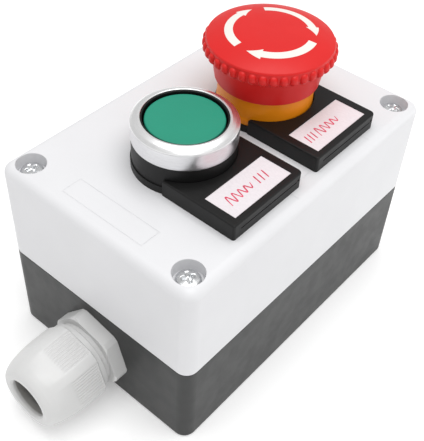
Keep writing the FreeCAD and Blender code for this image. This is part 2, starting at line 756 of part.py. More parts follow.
def contact_bridge(name, side):
    at = Levels(name)
    bar = box(both_ways(S["bridge_wide"]), both_ways(S["bridge_half"]),
              (at.bridge, at.bridge + S["strip_thick"]))
    rivets = pair(lambda way: rod(S["rivet_radius"], at.bridge_rivet, at.bridge_rivet + S["rivet_high"],
                                  0, way * S["rivet_y"]))
    on_panel(fuse(bar, *rivets), side, f"{name}_contact_bridge")


def bridge_spring(name, side):
    at = Levels(name)
    body = ring(f"{name}_bridge_spring", 1.2, 2.1, *at.bridge_spring)
    on_panel(body, side, f"{name}_bridge_spring")


def contact_spring(name, side):
    at = Levels(name)
    body = ring(f"{name}_contact_spring", 1.7, 2.7, at.floor, at.spring_hole)
    on_panel(body, side, f"{name}_contact_spring")


def fixed_contacts(name, side):
    at = Levels(name)

    def strip(way):
        bar = box(both_ways(S["strip_half"]), span(way, S["strip_inner"], S["strip_outer"]),
                  (at.strip, at.strip + S["strip_thick"]))
        rivet = rod(S["rivet_radius"], at.rivet, at.rivet + S["rivet_high"], 0, way * S["rivet_y"])
        hole = rod(1.55, at.strip - 1, at.strip + 2, 0, way * S["terminal_y"])
        return cut(fuse(bar, rivet), hole)
    on_panel(group(*pair(strip)), side, f"{name}_fixed_contacts")


def terminal_screws(name, side):
    at = Levels(name)

    def screw(way):
        y = way * S["terminal_y"]
        head = rod(2.75, at.strip - 3, at.strip - 0.9, 0, y)
        shank = rod(1.5, at.strip - 0.9, at.strip + 5, 0, y)
        slot = box(limits(-3, 3), (y - 0.4, y + 0.4), (at.strip - 4, at.strip - 2))
        return cut(fuse(head, shank), slot)
    on_panel(group(*pair(screw)), side, f"{name}_terminal_screws")


# ---------------------------------------------------------------- start button

def start_collar():
    """The black barrel, with a well for the cap and a guard whose thin lip lines the bezel."""
    lip = S["bezel_in"] - 0.05
    body = turned("start_collar", [
        (S["guard_in"], S["guard_lip"]), (lip, S["guard_lip"]), (lip, S["guard_top"]),
        (S["guard_out"], S["guard_top"]), (S["guard_out"], S["collar_top"]),
        (S["collar_radius"], S["collar_top"]), (S["collar_radius"], S["holder_base"]),
        (S["barrel_radius"], S["holder_base"]), (S["barrel_radius"], -S["barrel_end"]),
        (S["bore_radius"], -S["barrel_end"]), (S["bore_radius"], 2), (S["start_lip"], 2),
        (S["start_lip"], S["well_floor"]), (S["guard_in"], S["well_floor"])])
    barrel_key(body)
    on_panel(body, -1, "start_collar")


def start_bezel():
    """A thin metal shell over the collar's guard, with a sloping rim."""
    top, inside, under = S["bezel_top"], S["guard_out"] + 0.05, S["guard_top"] + 0.05
    body = turned("start_bezel", [
        (inside, S["collar_top"]), (S["bezel_out"], S["collar_top"]), (S["bezel_out"], top - 1.6),
        (S["bezel_in"] + 0.6, top), (S["bezel_in"], top - 0.2), (S["bezel_in"], under), (inside, under)])
    fillet(body, 0.7, ring_edge(S["bezel_out"], top - 1.6))
    on_panel(body, -1, "start_bezel")


def start_cap():
    inner, ceiling = S["cap_radius"] - 1.5, S["cap_top"] - 1.65
    body = turned("start_cap", [
        (0, ceiling), (inner, ceiling), (inner, S["cap_bottom"]), (S["cap_radius"], S["cap_bottom"]),
        (S["cap_radius"], S["cap_top"]), (0, S["cap_top"])])
    fillet(body, S["cap_edge"], ring_edge(S["cap_radius"], S["cap_top"]))
    on_panel(body, -1, "start_cap")


START_SHOULDER = -3.0


def start_plunger():
    neck = S["start_lip"] - 0.06
    head, top = S["cap_radius"] - 1.55, S["cap_top"] - 1.7
    body = turned("start_plunger", [
        (0, top), (head, top), (head, top - 2), (neck, top - 2), (neck, 1.9), (S["guide_radius"], 1.9),
        (S["guide_radius"], START_SHOULDER), (S["stem_radius"], START_SHOULDER),
        (S["stem_radius"], -S["stem_end"]), (0, -S["stem_end"])])
    on_panel(body, -1, "start_plunger")


# ---------------------------------------------------------------- stop button

STOP_SHOULDER = 2.0
LOBES = 40


def stop_body():
    body = turned("stop_body", [
        (S["tube_out"], S["holder_base"]), (S["tube_out"], S["tube_top"]), (S["tube_in"], S["tube_top"]),
        (S["tube_in"], S["lip_top"]), (S["stop_lip"], S["lip_top"]), (S["stop_lip"], S["lip_floor"]),
        (S["bore_radius"], S["lip_floor"]), (S["bore_radius"], -S["barrel_end"]),
        (S["barrel_radius"], -S["barrel_end"]), (S["barrel_radius"], S["holder_base"])])
    barrel_key(body)
    on_panel(body, 1, "stop_body")


def stop_collar():
    step = 4.0
    body = turned("stop_collar", [
        (S["tube_out"] + 0.05, S["holder_base"]), (S["yellow_radius"], S["holder_base"]),
        (S["yellow_radius"], step),
        (S["yellow_upper"], step + 1), (S["yellow_upper"], S["yellow_top"] - 0.5),
        (S["yellow_upper"] - 0.5, S["yellow_top"]), (S["tube_out"] + 0.05, S["yellow_top"])])
    on_panel(body, 1, "stop_collar")


def stop_cap():
    """The mushroom: a hollow dome with a hub for the stem and grip lobes around its rim."""
    rim, under, crown = S["cap_rim"], S["cap_under"], S["cap_crown"]
    hub_in, shell_in = S["stem_radius"] + 0.36, S["skirt_edge"] + 0.6
    body = turned("stop_cap", [
        (0, crown), (rim - 4.6, crown - 0.25), (rim - 0.5, crown - 2.1), (rim, crown - 3.6),
        (rim - 1.3, under),
        (shell_in, under), (shell_in, crown - 3.2), (S["hub_radius"], crown - 3.2),
        (S["hub_radius"], S["hub_bottom"]), (hub_in, S["hub_bottom"]), (hub_in, crown - 3.8),
        (0, crown - 3.8)])
    fillet(body, 5, ring_edge(rim - 4.6, crown - 0.25))
    groove = new_sketch(body, "XY_Plane", crown - 2.6)
    circle(groove, 0.75, rim + 0.25, 0)
    around(body, pocket(body, groove, size(6)), LOBES)
    on_panel(body, 1, "stop_cap")


def stop_skirt():
    """The cone under the mushroom, snapped into its rim."""
    upper, snap = S["cap_under"] - 0.02, S["skirt_edge"] + 0.55
    body = turned("stop_skirt", [
        (S["skirt_in"], S["skirt_bottom"]), (S["skirt_edge"], S["skirt_bottom"]),
        (S["skirt_edge"] + 1.4, upper), (snap, upper), (snap, upper + 2.2), (S["skirt_in"], upper + 2.2)])
    on_panel(body, 1, "stop_skirt")


def stop_stem():
    spigot, neck = S["stem_radius"] + 0.3, S["stop_lip"] - 0.08
    top, step = S["cap_crown"] - 3.9, S["hub_bottom"] - 0.1
    body = turned("stop_stem", [
        (0, top), (spigot, top), (spigot, step), (neck, step), (neck, S["lip_floor"] - 0.1),
        (S["guide_radius"], S["lip_floor"] - 0.1), (S["guide_radius"], STOP_SHOULDER),
        (S["stem_radius"], STOP_SHOULDER), (S["stem_radius"], -S["stem_end"]), (0, -S["stem_end"])])
    on_panel(body, 1, "stop_stem")


def stop_latch_cam():
    """The ring with three lobes that turns with the mushroom and frees the latch."""
    low, thick = S["hub_bottom"], 2.2
    body = ring("stop_latch_cam", S["hub_radius"] + 0.05, S["cam_radius"] - 1.4, low, low + thick)
    lobe = new_sketch(body, "XY_Plane", low)
    rectangle(lobe, (S["hub_radius"] + 1, S["cam_radius"] - 0.15), limits(-1.6, 1.6))
    around(body, pad(body, lobe, size(thick)), 3)
    on_panel(body, 1, "stop_latch_cam")


def stop_torsion_spring():
    low, high = S["hub_bottom"] + 2.4, S["cap_crown"] - 3.9
    body = ring("stop_torsion_spring", S["hub_radius"] + 0.35, S["hub_radius"] + 1.7, low, high)
    on_panel(body, 1, "stop_torsion_spring")


# ---------------------------------------------------------------- assembly and export

def make_all():
    for make in (base_shell, cover_shell, cover_gasket, cover_screws,
                 gland_body, gland_washer, gland_locknut, gland_seal, gland_nut,
                 start_collar, start_bezel, start_cap, start_plunger,
                 stop_body, stop_collar, stop_cap, stop_skirt, stop_stem, stop_latch_cam,
                 stop_torsion_spring):
        make()
    for name, side, shoulder in (("start", -1, START_SHOULDER), ("stop", 1, STOP_SHOULDER)):
        return_spring(name, side, shoulder)
        for make in (legend_holder, legend_card, panel_gasket, spring_seat, lock_nut, block_carrier,
                     contact_housing, contact_lid, contact_plunger, contact_bridge, bridge_spring,
                     contact_spring, fixed_contacts, terminal_screws):
            make(name, side)


def check_document():
    doc.recompute()
    broken = [f"{thing.Name} {thing.State}" for thing in doc.Objects
              if "Invalid" in thing.State or "Error" in thing.State]
    for part in PARTS:
        if part.Shape.isNull() or not part.Shape.isValid() or not part.Shape.Solids:
            broken.append(f"{part.Label} shape")
    if broken:
        raise RuntimeError("broken: " + ", ".join(broken))


def write_parts():
    os.makedirs("parts", exist_ok=True)
    for part in PARTS:
        part.Shape.exportStep(f"parts/{part.Label}.step")
        box_now = part.Shape.BoundBox
        print(f"{part.Label:26s} solids {len(part.Shape.Solids)} volume {part.Shape.Volume:9.1f} "
              f"x {box_now.XMin:7.2f} {box_now.XMax:7.2f} y {box_now.YMin:7.2f} {box_now.YMax:7.2f} "
              f"z {box_now.ZMin:7.2f} {box_now.ZMax:7.2f}")


make_all()
check_document()
write_parts()
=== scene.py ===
import json
import math

import bpy
from mathutils import Matrix, Vector


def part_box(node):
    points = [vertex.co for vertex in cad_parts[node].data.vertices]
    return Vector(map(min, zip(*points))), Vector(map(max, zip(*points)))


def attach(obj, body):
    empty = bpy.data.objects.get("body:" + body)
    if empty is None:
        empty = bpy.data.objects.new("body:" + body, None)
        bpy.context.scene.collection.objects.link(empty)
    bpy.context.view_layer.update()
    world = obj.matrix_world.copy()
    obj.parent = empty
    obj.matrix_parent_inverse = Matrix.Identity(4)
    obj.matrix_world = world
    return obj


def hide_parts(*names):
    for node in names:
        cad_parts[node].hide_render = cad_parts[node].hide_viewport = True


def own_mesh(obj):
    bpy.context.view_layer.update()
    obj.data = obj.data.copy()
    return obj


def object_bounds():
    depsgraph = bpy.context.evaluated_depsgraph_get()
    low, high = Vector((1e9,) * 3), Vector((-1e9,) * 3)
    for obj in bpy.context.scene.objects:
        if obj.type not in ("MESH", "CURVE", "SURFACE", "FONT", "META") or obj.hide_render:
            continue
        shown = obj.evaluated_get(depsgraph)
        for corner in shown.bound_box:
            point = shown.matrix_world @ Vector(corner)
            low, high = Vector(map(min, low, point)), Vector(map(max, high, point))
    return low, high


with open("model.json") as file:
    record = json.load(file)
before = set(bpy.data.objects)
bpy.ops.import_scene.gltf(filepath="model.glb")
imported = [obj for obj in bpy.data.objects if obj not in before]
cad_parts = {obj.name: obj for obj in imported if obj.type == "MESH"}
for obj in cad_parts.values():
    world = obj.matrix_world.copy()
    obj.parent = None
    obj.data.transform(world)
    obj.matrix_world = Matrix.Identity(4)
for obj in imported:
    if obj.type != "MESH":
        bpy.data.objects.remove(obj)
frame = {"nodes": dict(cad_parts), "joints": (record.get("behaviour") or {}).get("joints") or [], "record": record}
CAD_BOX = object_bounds()

MM = 0.001
JOINTS = {joint["name"]: joint for joint in frame["joints"]}
SLOT_OF = {part["node"]: part["material_slot"] for part in frame["record"]["subparts"]}
BODY_OF = {node: body for body, nodes in frame["record"]["behaviour"]["bodies"].items() for node in nodes}


# ---------------------------------------------------------------- places, all from the frame

def low_of(node):
    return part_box(node)[0]


def high_of(node):
    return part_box(node)[1]


def middle(node):
    low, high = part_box(node)
    return (low + high) / 2


PANEL = high_of("cover_shell").z
START = middle("start_bezel")
STOP = middle("stop_collar")
WALL = low_of("base_shell").x
GLAND = middle("gland_seal")


def above(place):
    """From (x, y, z) in millimetres about a button's axis, up from the cover, to the row frame."""
    return lambda p: Vector((place.x + p[0] * MM, place.y + p[1] * MM, PANEL + p[2] * MM))


def outward(p):
    """From (x, y, z) in millimetres about the gland's axis, out from the wall, to the row frame."""
    return Vector((WALL - p[2] * MM, GLAND.y + p[1] * MM, GLAND.z + p[0] * MM))


# ---------------------------------------------------------------- shader nodes

WEAR_REACH = 0.5


class Shader:
    """A material's node tree with short ways to add to it."""

    def __init__(self, name):
        self.material = bpy.data.materials.new(name)
        self.material.use_nodes = True
        self.tree = self.material.node_tree
        self.surface = self.tree.nodes["Principled BSDF"]
        self.place = self.add("TexCoord").outputs["Object"]

    def add(self, kind, **settings):
        node = self.tree.nodes.new("ShaderNode" + kind)
        for name, value in settings.items():
            setattr(node, name, value)
        return node

    def join(self, source, target):
        self.tree.links.new(source, target)

    def fixed(self, **values):
        for name, value in values.items():
            self.surface.inputs[name.replace("_", " ")].default_value = value

    def noise(self, size_mm, detail=2.0, stretch=(1, 1, 1), place=None):
        """Noise whose cells are about size_mm across, longer along an axis where stretch is under 1."""
        mapping = self.add("Mapping")
        mapping.inputs["Scale"].default_value = stretch
        self.join(place or self.place, mapping.inputs["Vector"])
        noise = self.add("TexNoise")
        noise.inputs["Scale"].default_value = 1 / (size_mm * MM)
        noise.inputs["Detail"].default_value = detail
        self.join(mapping.outputs["Vector"], noise.inputs["Vector"])
        return noise.outputs["Fac"]

    def ramp(self, source, low, high, start=0.35, end=0.65):
        """Spread a noise over a range of numbers."""
        spread = self.add("MapRange")
        for name, value in (("From Min", start), ("From Max", end), ("To Min", low), ("To Max", high)):
            spread.inputs[name].default_value = value
        self.join(source, spread.inputs["Value"])
        return spread.outputs["Result"]

    def mix(self, factor, first, second):
        blend = self.add("Mix", data_type="RGBA")
        self.join(factor, blend.inputs["Factor"])
        for socket, colour in (("A", first), ("B", second)):
            target = [s for s in blend.inputs if s.name == socket and s.type == "RGBA"][0]
            if isinstance(colour, tuple):
                target.default_value = (*colour, 1)
            else:
                self.join(colour, target)
        return [s for s in blend.outputs if s.type == "RGBA"][0]

    def bump(self, *layers, round_mm=0.0):
        """Stack bumps of (height, depth in mm), over edges rounded in the shading."""
        normal = None
        if round_mm:
            bevel = self.add("Bevel", samples=4)
            bevel.inputs["Radius"].default_value = round_mm * MM
            normal = bevel.outputs["Normal"]
        for height, depth_mm in layers:
            bump = self.add("Bump")
            bump.inputs["Strength"].default_value = 1.0
            bump.inputs["Distance"].default_value = depth_mm * MM
            self.join(height, bump.inputs["Height"])
            if normal is not None:
                self.join(normal, bump.inputs["Normal"])
            normal = bump.outputs["Normal"]
        self.join(normal, self.surface.inputs["Normal"])

    def edges(self):
        """Near 1 beside an edge and 0 on flats, for wear."""
        bevel = self.add("Bevel", samples=4)
        bevel.inputs["Radius"].default_value = WEAR_REACH * MM
        agree = self.add("VectorMath", operation="DOT_PRODUCT")
        self.join(bevel.outputs["Normal"], agree.inputs[0])
        self.join(self.add("NewGeometry").outputs["Normal"], agree.inputs[1])
        return self.ramp(agree.outputs["Value"], 1, 0, 0.7, 0.995)


def shade(colour, factor):
    return tuple(min(1.0, c * factor) for c in colour)


def moulded(name, colour, rough=0.45, grain_mm=0.35, grain_depth=0.005, wear=0.12, tone=0.03, round_mm=0.25,
            specular=0.5):
    """Moulded plastic: fine spark-eroded grain, cloudy tone, slightly paler edges and an uneven sheen."""
    s = Shader(name)
    clouds = s.ramp(s.noise(14, 3), 0, 1)
    body = s.mix(clouds, shade(colour, 1 - tone), shade(colour, 1 + tone))
    speck = s.ramp(s.noise(0.9, 4), 0, 0.5, 0.56, 0.7)
    body = s.mix(speck, body, shade(colour, 1 + 2 * tone))
    rubbed = s.add("Math", operation="MULTIPLY")
    s.join(s.edges(), rubbed.inputs[0])
    s.join(s.ramp(s.noise(2.5, 4), 0, wear), rubbed.inputs[1])
    pale = tuple(c + (1 - c) * 0.25 for c in colour)
    body = s.mix(rubbed.outputs["Value"], body, pale)
    s.join(body, s.surface.inputs["Base Color"])
    s.join(s.ramp(s.noise(5, 4), rough - 0.03, rough + 0.04), s.surface.inputs["Roughness"])
    s.fixed(Specular_IOR_Level=specular)
    s.bump((s.noise(grain_mm, 3), grain_depth), (s.noise(3.5, 2), grain_depth * 0.8), round_mm=round_mm)
    return s.material


def metal(name, colour, rough):
    """Bare or plated metal: fine grain, faint stains and uneven polish."""
    s = Shader(name)
    s.fixed(Metallic=1.0)
    body = s.mix(s.ramp(s.noise(3, 5), 0, 1), shade(colour, 0.9), shade(colour, 1.05))
    s.join(body, s.surface.inputs["Base Color"])
    s.join(s.ramp(s.noise(1.2, 5), rough - 0.06, rough + 0.1), s.surface.inputs["Roughness"])
    s.bump((s.noise(0.06, 2), 0.002), round_mm=0.15)
    return s.material


def rubber(name, colour):
    return moulded(name, colour, rough=0.7, grain_mm=0.5, grain_depth=0.01, wear=0.1, specular=0.3)


def turned_metal(name, colour, centre, rough, line_depth):
    """Metal with fine rings left by turning about a vertical axis."""
    s = Shader(name)
    s.fixed(Metallic=1.0)
    shift = s.add("VectorMath", operation="SUBTRACT")
    s.join(s.place, shift.inputs[0])
    shift.inputs[1].default_value = (centre.x, centre.y, 0)
    split = s.add("SeparateXYZ")
    s.join(shift.outputs["Vector"], split.inputs["Vector"])
    angle = s.add("Math", operation="ARCTAN2")
    s.join(split.outputs["Y"], angle.inputs[0])
    s.join(split.outputs["X"], angle.inputs[1])
    flat = s.add("CombineXYZ")
    s.join(split.outputs["X"], flat.inputs["X"])
    s.join(split.outputs["Y"], flat.inputs["Y"])
    reach = s.add("VectorMath", operation="LENGTH")
    s.join(flat.outputs["Vector"], reach.inputs[0])
    along = s.add("Math", operation="MULTIPLY")
    s.join(angle.outputs["Value"], along.inputs[0])
    along.inputs[1].default_value = 0.0006
    ring = s.add("CombineXYZ")
    s.join(along.outputs["Value"], ring.inputs["X"])
    s.join(reach.outputs["Value"], ring.inputs["Y"])
    s.join(split.outputs["Z"], ring.inputs["Z"])
    lines = s.noise(0.07, 3, place=ring.outputs["Vector"])
    body = s.mix(s.ramp(lines, 0, 1), shade(colour, 0.93), shade(colour, 1.05))
    s.join(body, s.surface.inputs["Base Color"])
    s.join(s.ramp(s.noise(2.5, 4), rough - 0.015, rough + 0.015), s.surface.inputs["Roughness"])
    s.bump((lines, line_depth))
    return s.material


def paper(name, colour):
    """Card: fibres, faint blotches and no gloss."""
    s = Shader(name)
    fibres = s.ramp(s.noise(0.25, 5, (1, 0.25, 1)), 0, 1)
    body = s.mix(fibres, shade(colour, 0.96), shade(colour, 1.03))
    s.join(body, s.surface.inputs["Base Color"])
    s.join(s.ramp(s.noise(1.5, 3), 0.7, 0.85), s.surface.inputs["Roughness"])
    s.fixed(Specular_IOR_Level=0.25)
    s.bump((s.noise(0.3, 4), 0.01))
    return s.material


def ink(name, colour):
    """Felt pen: uneven density along the stroke."""
    s = Shader(name)
    body = s.mix(s.ramp(s.noise(0.8, 4), 0, 1), colour, shade(colour, 1.5))
    s.join(body, s.surface.inputs["Base Color"])
    s.join(s.ramp(s.noise(0.5, 2), 0.5, 0.7), s.surface.inputs["Roughness"])
    return s.material


MATERIALS = {
    "base_plastic": moulded("base_plastic", (0.021, 0.022, 0.0215), rough=0.42, grain_depth=0.008, wear=0.06,
                             specular=0.38),
    "cover_plastic": moulded("cover_plastic", (0.735, 0.735, 0.75), rough=0.42, tone=0.008, wear=0.05),
    "black_rubber": rubber("black_rubber", (0.012, 0.012, 0.012)),
    "zinc_steel": metal("zinc_steel", (0.78, 0.79, 0.8), rough=0.22),
    "gland_nylon": moulded("gland_nylon", (0.64, 0.64, 0.635), rough=0.4, tone=0.012, wear=0.1),
    "seal_rubber": rubber("seal_rubber", (0.36, 0.34, 0.3)),
    "black_plastic": moulded("black_plastic", (0.006, 0.006, 0.006), rough=0.45, wear=0.03, specular=0.28),
    "satin_chrome": turned_metal("satin_chrome", (0.8, 0.8, 0.81), START, 0.3, 0.002),
    # The bezel rim's chrome: its finer turning rings are real, but its paler colour than the side's chrome is a
    # painted highlight.
    "chrome_rim_painted_bright": turned_metal("chrome_rim_painted_bright", (0.96, 0.96, 0.965), START, 0.32, 0.0005),
    "green_plastic": moulded("green_plastic", (0.01, 0.26, 0.165), rough=0.48, tone=0.02, wear=0.05,
                              specular=0.4),
    "yellow_plastic": moulded("yellow_plastic", (0.98, 0.3, 0.003), rough=0.4, tone=0.02, wear=0.05),
    "red_plastic": moulded("red_plastic", (0.655, 0.01, 0.009), rough=0.42, tone=0.02, wear=0.03,
                            specular=0.34),
    "card_paper": paper("card_paper", (0.75, 0.7, 0.725)),
    "grey_plastic": moulded("grey_plastic", (0.14, 0.15, 0.16)),
    "start_block_plastic": moulded("start_block_plastic", (0.04, 0.3, 0.14)),
    "stop_block_plastic": moulded("stop_block_plastic", (0.5, 0.04, 0.03)),
    "contact_brass": metal("contact_brass", (0.8, 0.58, 0.28), rough=0.28),
    "spring_steel": metal("spring_steel", (0.62, 0.62, 0.64), rough=0.3),
    "arrow_white": moulded("arrow_white", (0.8, 0.77, 0.72), rough=0.45, tone=0.02, wear=0.0, round_mm=0.05),
    "red_ink": ink("red_ink", (0.5, 0.045, 0.09)),
}


# ---------------------------------------------------------------- meshes

def add_piece(name, points, faces, body, material, sharp_deg=32):
    """A mesh object that rides on a body."""
    mesh = bpy.data.meshes.new(name)
    mesh.from_pydata([tuple(p) for p in points], [], faces)
    mesh.validate()
    mesh.shade_smooth()
    mesh.set_sharp_from_angle(angle=math.radians(sharp_deg))
    piece = bpy.data.objects.new(name, mesh)
    bpy.context.scene.collection.objects.link(piece)
    piece.data.materials.append(MATERIALS[material])
    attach(piece, body)
    return piece


def arc_corner(before, corner, after, radius, steps):
    """The points of a round corner between two straight sides."""
    here = Vector(corner)
    back, ahead = Vector(before) - here, Vector(after) - here
    turn = math.pi - back.angle(ahead)
    if radius <= 0 or turn < 1e-3:
        return [here]
    reach = min(radius * math.tan(turn / 2), 0.49 * back.length, 0.49 * ahead.length)
    radius = reach / math.tan(turn / 2)
    start, finish = here + back.normalized() * reach, here + ahead.normalized() * reach
    centre = here + (back.normalized() + ahead.normalized()).normalized() * math.hypot(reach, radius)
    points = []
    for k in range(steps + 1):
        mixed = start.lerp(finish, k / steps) - centre
        points.append(centre + mixed.normalized() * radius)
    return points


def soft_outline(corners, steps=6):
    """A closed outline from (radius, height, rounding) corners."""
    flat = [(r, z) for r, z, _ in corners]
    points = []
    for k, (_, _, rounding) in enumerate(corners):
        points += arc_corner(flat[k - 1], flat[k], flat[(k + 1) % len(flat)], rounding, steps)
    return points


def fine_outline(points, longest):
    """The same closed outline with no stretch longer than a limit."""
    fine = []
    for here, there in zip(points, points[1:] + points[:1]):
        count = max(1, math.ceil((there - here).length / longest))
        fine += [here.lerp(there, k / count) for k in range(count)]
    return fine


def turned(name, corners, to_frame, body, material, steps=160, shape=None, longest=None):
    """Turn an outline of (radius, height, rounding) corners about its axis."""
    outline = soft_outline(corners)
    if longest:
        outline = fine_outline(outline, longest)
    return lathe(name, outline, to_frame, body, material, steps, shape)


def lathe(name, outline, to_frame, body, material, steps, shape=None):
    """Turn a closed outline about its axis; shape may move a point, given radius, height and angle."""
    rows = len(outline)
    points, faces = [], []
    for k in range(steps):
        angle = 2 * math.pi * k / steps
        for radius, height in outline:
            if shape:
                radius, height = shape(radius, height, angle)
            points.append(to_frame((radius * math.cos(angle), radius * math.sin(angle), height)))
    origin = to_frame((0, 0, 0))
    x_axis, y_axis, z_axis = (to_frame(p) - origin for p in ((1, 0, 0), (0, 1, 0), (0, 0, 1)))
    handed = x_axis.cross(y_axis).dot(z_axis)
    for k in range(steps):
        here, there = k * rows, (k + 1) % steps * rows
        for j in range(rows):
            up = (j + 1) % rows
            face = (here + j, there + j, there + up, here + up)
            faces.append(face if handed > 0 else face[::-1])
    return add_piece(name, points, faces, body, material)


def tube(name, path, radius, to_frame, body, material, sides=10):
    """A round wire along a path of points, closed at both ends."""
    points, faces = [], []
    for k, here in enumerate(path):
        along = (path[min(k + 1, len(path) - 1)] - path[max(k - 1, 0)]).normalized()
        side = along.cross(Vector((0, 0, 1)))
        side = side.normalized() if side.length > 1e-6 else Vector((1, 0, 0))
        lift = along.cross(side)
        for j in range(sides):
            angle = 2 * math.pi * j / sides
            points.append(to_frame(here + (side * math.cos(angle) + lift * math.sin(angle)) * radius))
    for k in range(len(path) - 1):
        for j in range(sides):
            a, b = k * sides + j, k * sides + (j + 1) % sides
            faces.append((a, b, b + sides, a + sides))
    faces.append(tuple(range(sides)))
    faces.append(tuple(range(len(points) - 1, len(points) - 1 - sides, -1)))
    return add_piece(name, points, faces, body, material)


def slab(name, top, thick, to_frame, body, material):
    """A thin closed sheet: rows of top points, and the same rows a little lower."""
    across = len(top[0])
    upper = [Vector(p) for row in top for p in row]
    points = [to_frame(p) for p in upper] + [to_frame(p - Vector((0, 0, thick))) for p in upper]
    under = len(upper)
    faces, rim = [], []
    for k in range(len(top) - 1):
        for j in range(across - 1):
            a = k * across + j
            face = (a, a + 1, a + across + 1, a + across)
            faces += [face, tuple(under + c for c in face[::-1])]
        rim.append(((k + 1) * across, k * across))
        rim.append((k * across + across - 1, (k + 1) * across + across - 1))
    last = (len(top) - 1) * across
    rim += [(j, j + 1) for j in range(across - 1)] + [(last + j + 1, last + j) for j in range(across - 1)]
    faces += [(b, a, a + under, b + under) for a, b in rim]
    return add_piece(name, points, faces, body, material, sharp_deg=40)


def dress_cad():
    """Give every CAD node its slot's material."""
    for node, thing in frame["nodes"].items():
        thing.data.materials.clear()
        thing.data.materials.append(MATERIALS[SLOT_OF[node]])


# ---------------------------------------------------------------- stop button

CROWN = (high_of("stop_cap").z - PANEL) / MM
RIM = (high_of("stop_cap").x - STOP.x) / MM
UNDER = 20.3
DOME_EDGE = 19.35
DOME_DROP = 2.6
LOBES = 40
LOBE_HALF = 0.39
LOBE_MIDDLE = UNDER + 1.75
LOBE_RISE = 1.75
SKIRT_BORE, SKIRT_ROOF = 16.85, 24
HUB_RADIUS, HUB_BOTTOM = 6.5, 16.1
STEM_BORE, STEM_ROOF = 3.56, 23.4


def dome_height(radius):
    return CROWN - DOME_DROP * (radius / DOME_EDGE) ** 3.4


def smooth(x):
    x = max(0.0, min(1.0, x))
    return x * x * (3 - 2 * x)


def grip_lobe(radius, height, angle):
    """Push the rim's wall out in pillow-shaped grip lobes."""
    if radius < DOME_EDGE - 1:
        return radius, height
    across = abs((angle * LOBES / (2 * math.pi)) % 1 - 0.5) / LOBE_HALF
    along = abs(height - LOBE_MIDDLE) / LOBE_RISE
    swell = max(0.0, 1 - across ** 2.4 - along ** 2.8)
    return radius + (RIM - DOME_EDGE - 0.02) * swell ** 0.6, height


def stop_mushroom():
    """The mushroom, with a low dome, a soft shoulder and forty grip lobes."""
    dome = [Vector((DOME_EDGE * k / 44, dome_height(DOME_EDGE * k / 44))) for k in range(1, 43)]
    rest = soft_outline([
        (DOME_EDGE - 0.25, dome_height(DOME_EDGE - 0.25), 0), (DOME_EDGE, CROWN - DOME_DROP - 0.35, 0.3),
        (DOME_EDGE, UNDER + 1.2, 0), (DOME_EDGE - 0.35, UNDER, 0.25),
        (SKIRT_BORE, UNDER, 0.1), (SKIRT_BORE, SKIRT_ROOF, 0.4), (HUB_RADIUS, SKIRT_ROOF, 0.4),
        (HUB_RADIUS, HUB_BOTTOM, 0.15), (STEM_BORE, HUB_BOTTOM, 0.1), (STEM_BORE, STEM_ROOF, 0)], steps=4)
    wall_points = 10
    wall = fine_outline(rest[:wall_points], 0.14)[:-1]
    crown, stem_end = Vector((0.02, CROWN)), Vector((0.02, STEM_ROOF))
    outline = [crown] + dome + wall + rest[wall_points:] + [stem_end]
    piece = lathe("stop_mushroom", outline, above(STOP), "stop_head", "red_plastic", LOBES * 20, grip_lobe)
    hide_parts("stop_cap")


def stop_arrow(number, tail, tip):
    """A raised white arrow on the dome, pointing the way the mushroom twists."""
    middle_r, half, barb, head = 12.65, 1.25, 2.05, math.radians(20)
    tail, tip = math.radians(tail), math.radians(tip)
    neck = tip + head
    shaft = [(tail + (neck - tail) * k / 30, half, 0) for k in range(31)]
    point = [(neck + (tip - neck) * k / 12, max(0.03, barb * (1 - k / 12)), 0.5 * k / 12) for k in range(13)]
    rows = []
    for angle, reach, drift in shaft + point:
        row = []
        for j in range(9):
            radius = middle_r + drift + reach * (j / 4 - 1)
            row.append((radius * math.cos(angle), radius * math.sin(angle), dome_height(radius) + 0.05))
        rows.append(row)
    slab(f"stop_arrow_{number}", rows, 0.12, above(STOP), "stop_head", "arrow_white")


def stop_button():
    stop_mushroom()
    for number in range(3):
        turn = 120 * number
        stop_arrow(number + 1, 168 - turn, 65 - turn)


# ---------------------------------------------------------------- start button

def start_button():
    at = above(START)
    side = turned("start_bezel_side", [
        (14.16, 9.36, 0), (15.3, 9.36, 0.15), (15.3, 9.7, 0.1), (15.38, 9.76, 0.1), (15.38, 14.5, 0.1),
        (15.25, 14.6, 0.05), (14.16, 14.6, 0)], at, "root", "satin_chrome", 256)
    # The rim takes the paler chrome, a painted highlight on its upward face.
    rim = turned("start_bezel_rim", [
        (14.16, 14.6, 0), (15.25, 14.6, 0.05), (15.43, 14.72, 0.08), (15.43, 15.0, 0.35), (14.5, 15.85, 2),
        (13.2, 16.33, 0.6), (12.65, 16.3, 0.25), (12.52, 16.15, 0.12), (12.52, 14.78, 0), (14.16, 14.78, 0)],
        at, "root", "chrome_rim_painted_bright", 256)
    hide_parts("start_bezel")
    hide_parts("start_bezel")
    cap = turned("start_cap_disc", [
        (0.02, 15.42, 0), (8.6, 15.44, 3), (10.6, 15.49, 0.5), (11.43, 15.49, 0.55), (11.43, 10.52, 0.2),
        (9.97, 10.52, 0.1), (9.97, 13.86, 0.3), (0.02, 13.86, 0)], at, "start_button", "green_plastic", 224)
    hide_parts("start_cap")


# ---------------------------------------------------------------- cable gland

NUT_FRONT = (WALL - low_of("gland_nut").x) / MM
NUT_REAR = (WALL - high_of("gland_nut").x) / MM
NUT_CORNER = (high_of("gland_nut").y - GLAND.y) / MM
NUT_FLAT = 12.0
NUT_TURN = math.radians(17)
NUT_COLLAR = 1.88
NUT_BORE = 11
NUT_BORE_END = NUT_FRONT - 5.9
MOUTH_OUTSIDE = 9.5
RIB_PITCH = 1.02
RIB_DEEP = 0.26
RIBS_START = NUT_REAR + 2.2
RIBS_END = NUT_FRONT - 9.3


